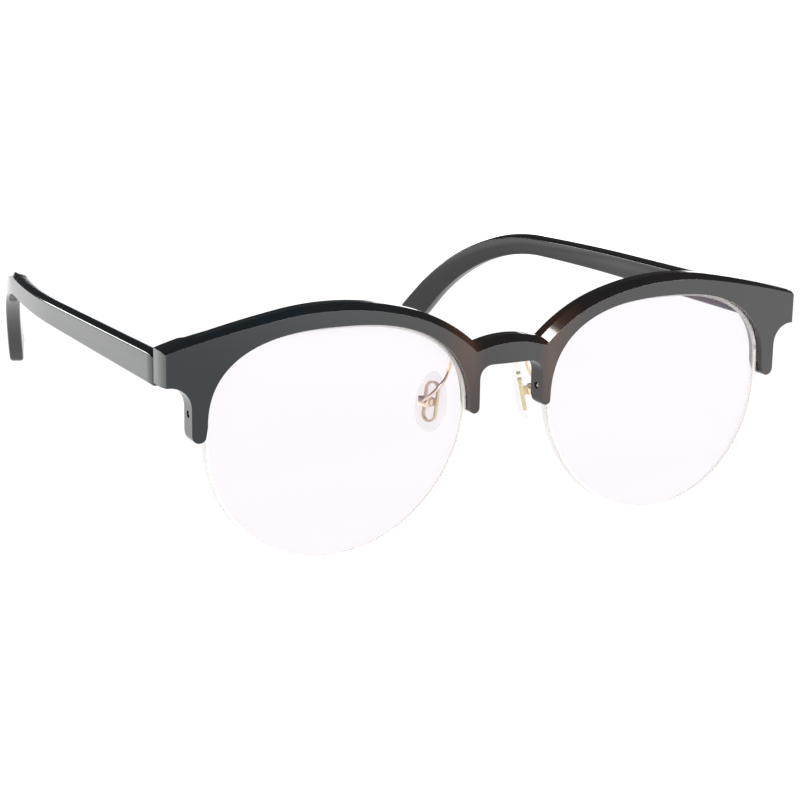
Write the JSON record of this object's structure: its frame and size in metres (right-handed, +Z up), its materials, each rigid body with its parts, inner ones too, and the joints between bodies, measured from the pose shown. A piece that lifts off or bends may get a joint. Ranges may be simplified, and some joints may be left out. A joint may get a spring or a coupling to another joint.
{
  "type": "half rim eyeglasses",
  "caption": "Half rim eyeglasses: black acetate brow front, clear lenses held below by a nylon cord, folding acetate temples, silicone nose pads on gold-tone arms.",
  "frame": {"origin": "on the floor under the middle of the open glasses", "axes": "+X towards the wearer's left, -Y the way the lenses face, +Z up as the open glasses stand on lens bottoms and ear ends"},
  "size_m": [0.14, 0.1355, 0.0482],
  "materials": {
    "black_acetate": "polished black acetate",
    "clear_lens": "clear, faint tint",
    "nylon": "clear nylon with a warm cast",
    "hinge_steel": "nickel silver",
    "gold_metal": "pale gold plate",
    "silicone": "clear silicone",
    "stiff_insert": "warm translucent plastic"
  },
  "bodies": {
    "front": {"front_frame": "black_acetate", "lens_left": "clear_lens", "lens_right": "clear_lens", "lens_cord_left": "nylon", "lens_cord_right": "nylon", "rim_liner_left": "nylon", "rim_liner_right": "nylon", "front_hinge_left": "hinge_steel", "front_hinge_right": "hinge_steel", "hinge_screw_left": "hinge_steel", "hinge_screw_right": "hinge_steel", "pad_arm_left": "gold_metal", "pad_arm_right": "gold_metal", "pad_screw_left": "gold_metal", "pad_screw_right": "gold_metal"},
    "temple_left": {"temple_left": "black_acetate", "temple_core_left": "hinge_steel", "temple_hinge_left": "hinge_steel"},
    "temple_right": {"temple_right": "black_acetate", "temple_core_right": "hinge_steel", "temple_hinge_right": "hinge_steel"},
    "nose_pad_left": {"nose_pad_left": "silicone", "pad_insert_left": "stiff_insert"},
    "nose_pad_right": {"nose_pad_right": "silicone", "pad_insert_right": "stiff_insert"}
  },
  "joints": [
    {"name": "temple_fold_left", "type": "hinge", "parent": "front", "child": "temple_left", "pos_m": [0.06555, -0.05959, 0.03765], "axis": [0, 0.0711, 0.9975], "range_deg": [0, 82]},
    {"name": "temple_fold_right", "type": "hinge", "parent": "front", "child": "temple_right", "pos_m": [-0.06555, -0.05959, 0.03765], "axis": [0, -0.0711, -0.9975], "range_deg": [0, 65]},
    {"name": "pad_rock_left", "type": "hinge", "parent": "front", "child": "nose_pad_left", "pos_m": [0.0122, -0.05639, 0.02452], "axis": [0.5, 0.8638, -0.0616], "range_deg": [-8, 8]},
    {"name": "pad_rock_right", "type": "hinge", "parent": "front", "child": "nose_pad_right", "pos_m": [-0.0122, -0.05639, 0.02452], "axis": [-0.5, 0.8638, -0.0616], "range_deg": [-8, 8]}
  ]
}
